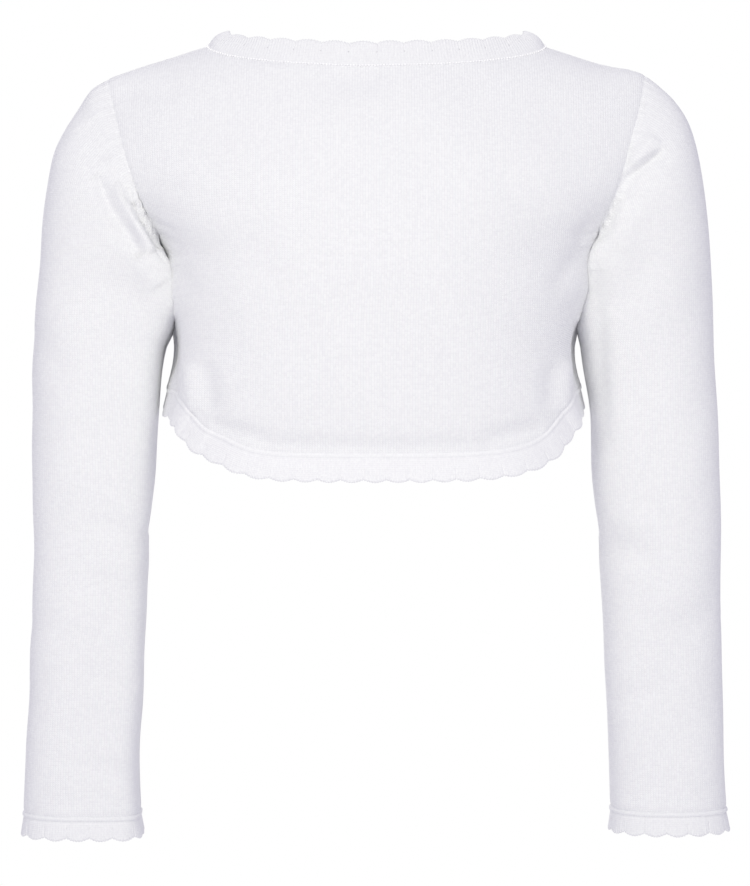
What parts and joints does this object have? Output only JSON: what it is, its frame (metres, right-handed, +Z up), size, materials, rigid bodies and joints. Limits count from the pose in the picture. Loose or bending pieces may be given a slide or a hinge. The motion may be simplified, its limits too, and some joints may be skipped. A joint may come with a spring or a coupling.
{
  "type": "knitted shrug",
  "caption": "Cropped long-sleeved knitted shrug with a rounded open front and scalloped bands, in worn shape and hollow.",
  "frame": {"origin": "midway between the two high shoulder points, where the neck edge meets the shoulder seams and the wearer's shoulders hold the garment", "axes": "+Z up along the wearer's spine, -Y towards the wearer's front, +X towards the wearer's left"},
  "size_m": [0.3835, 0.1442, 0.4341],
  "materials": {
    "jersey": "fine white cotton jersey knit, matt",
    "rib_band": "white cotton ribbed trim knit, matt"
  },
  "bodies": {
    "root": {"back": "jersey", "left_front": "jersey", "right_front": "jersey", "left_upper_sleeve": "jersey", "left_lower_sleeve": "jersey", "right_upper_sleeve": "jersey", "right_lower_sleeve": "jersey", "neckband": "rib_band", "left_front_band": "rib_band", "right_front_band": "rib_band", "hem_band": "rib_band", "left_cuff": "rib_band", "right_cuff": "rib_band"}
  },
  "joints": []
}
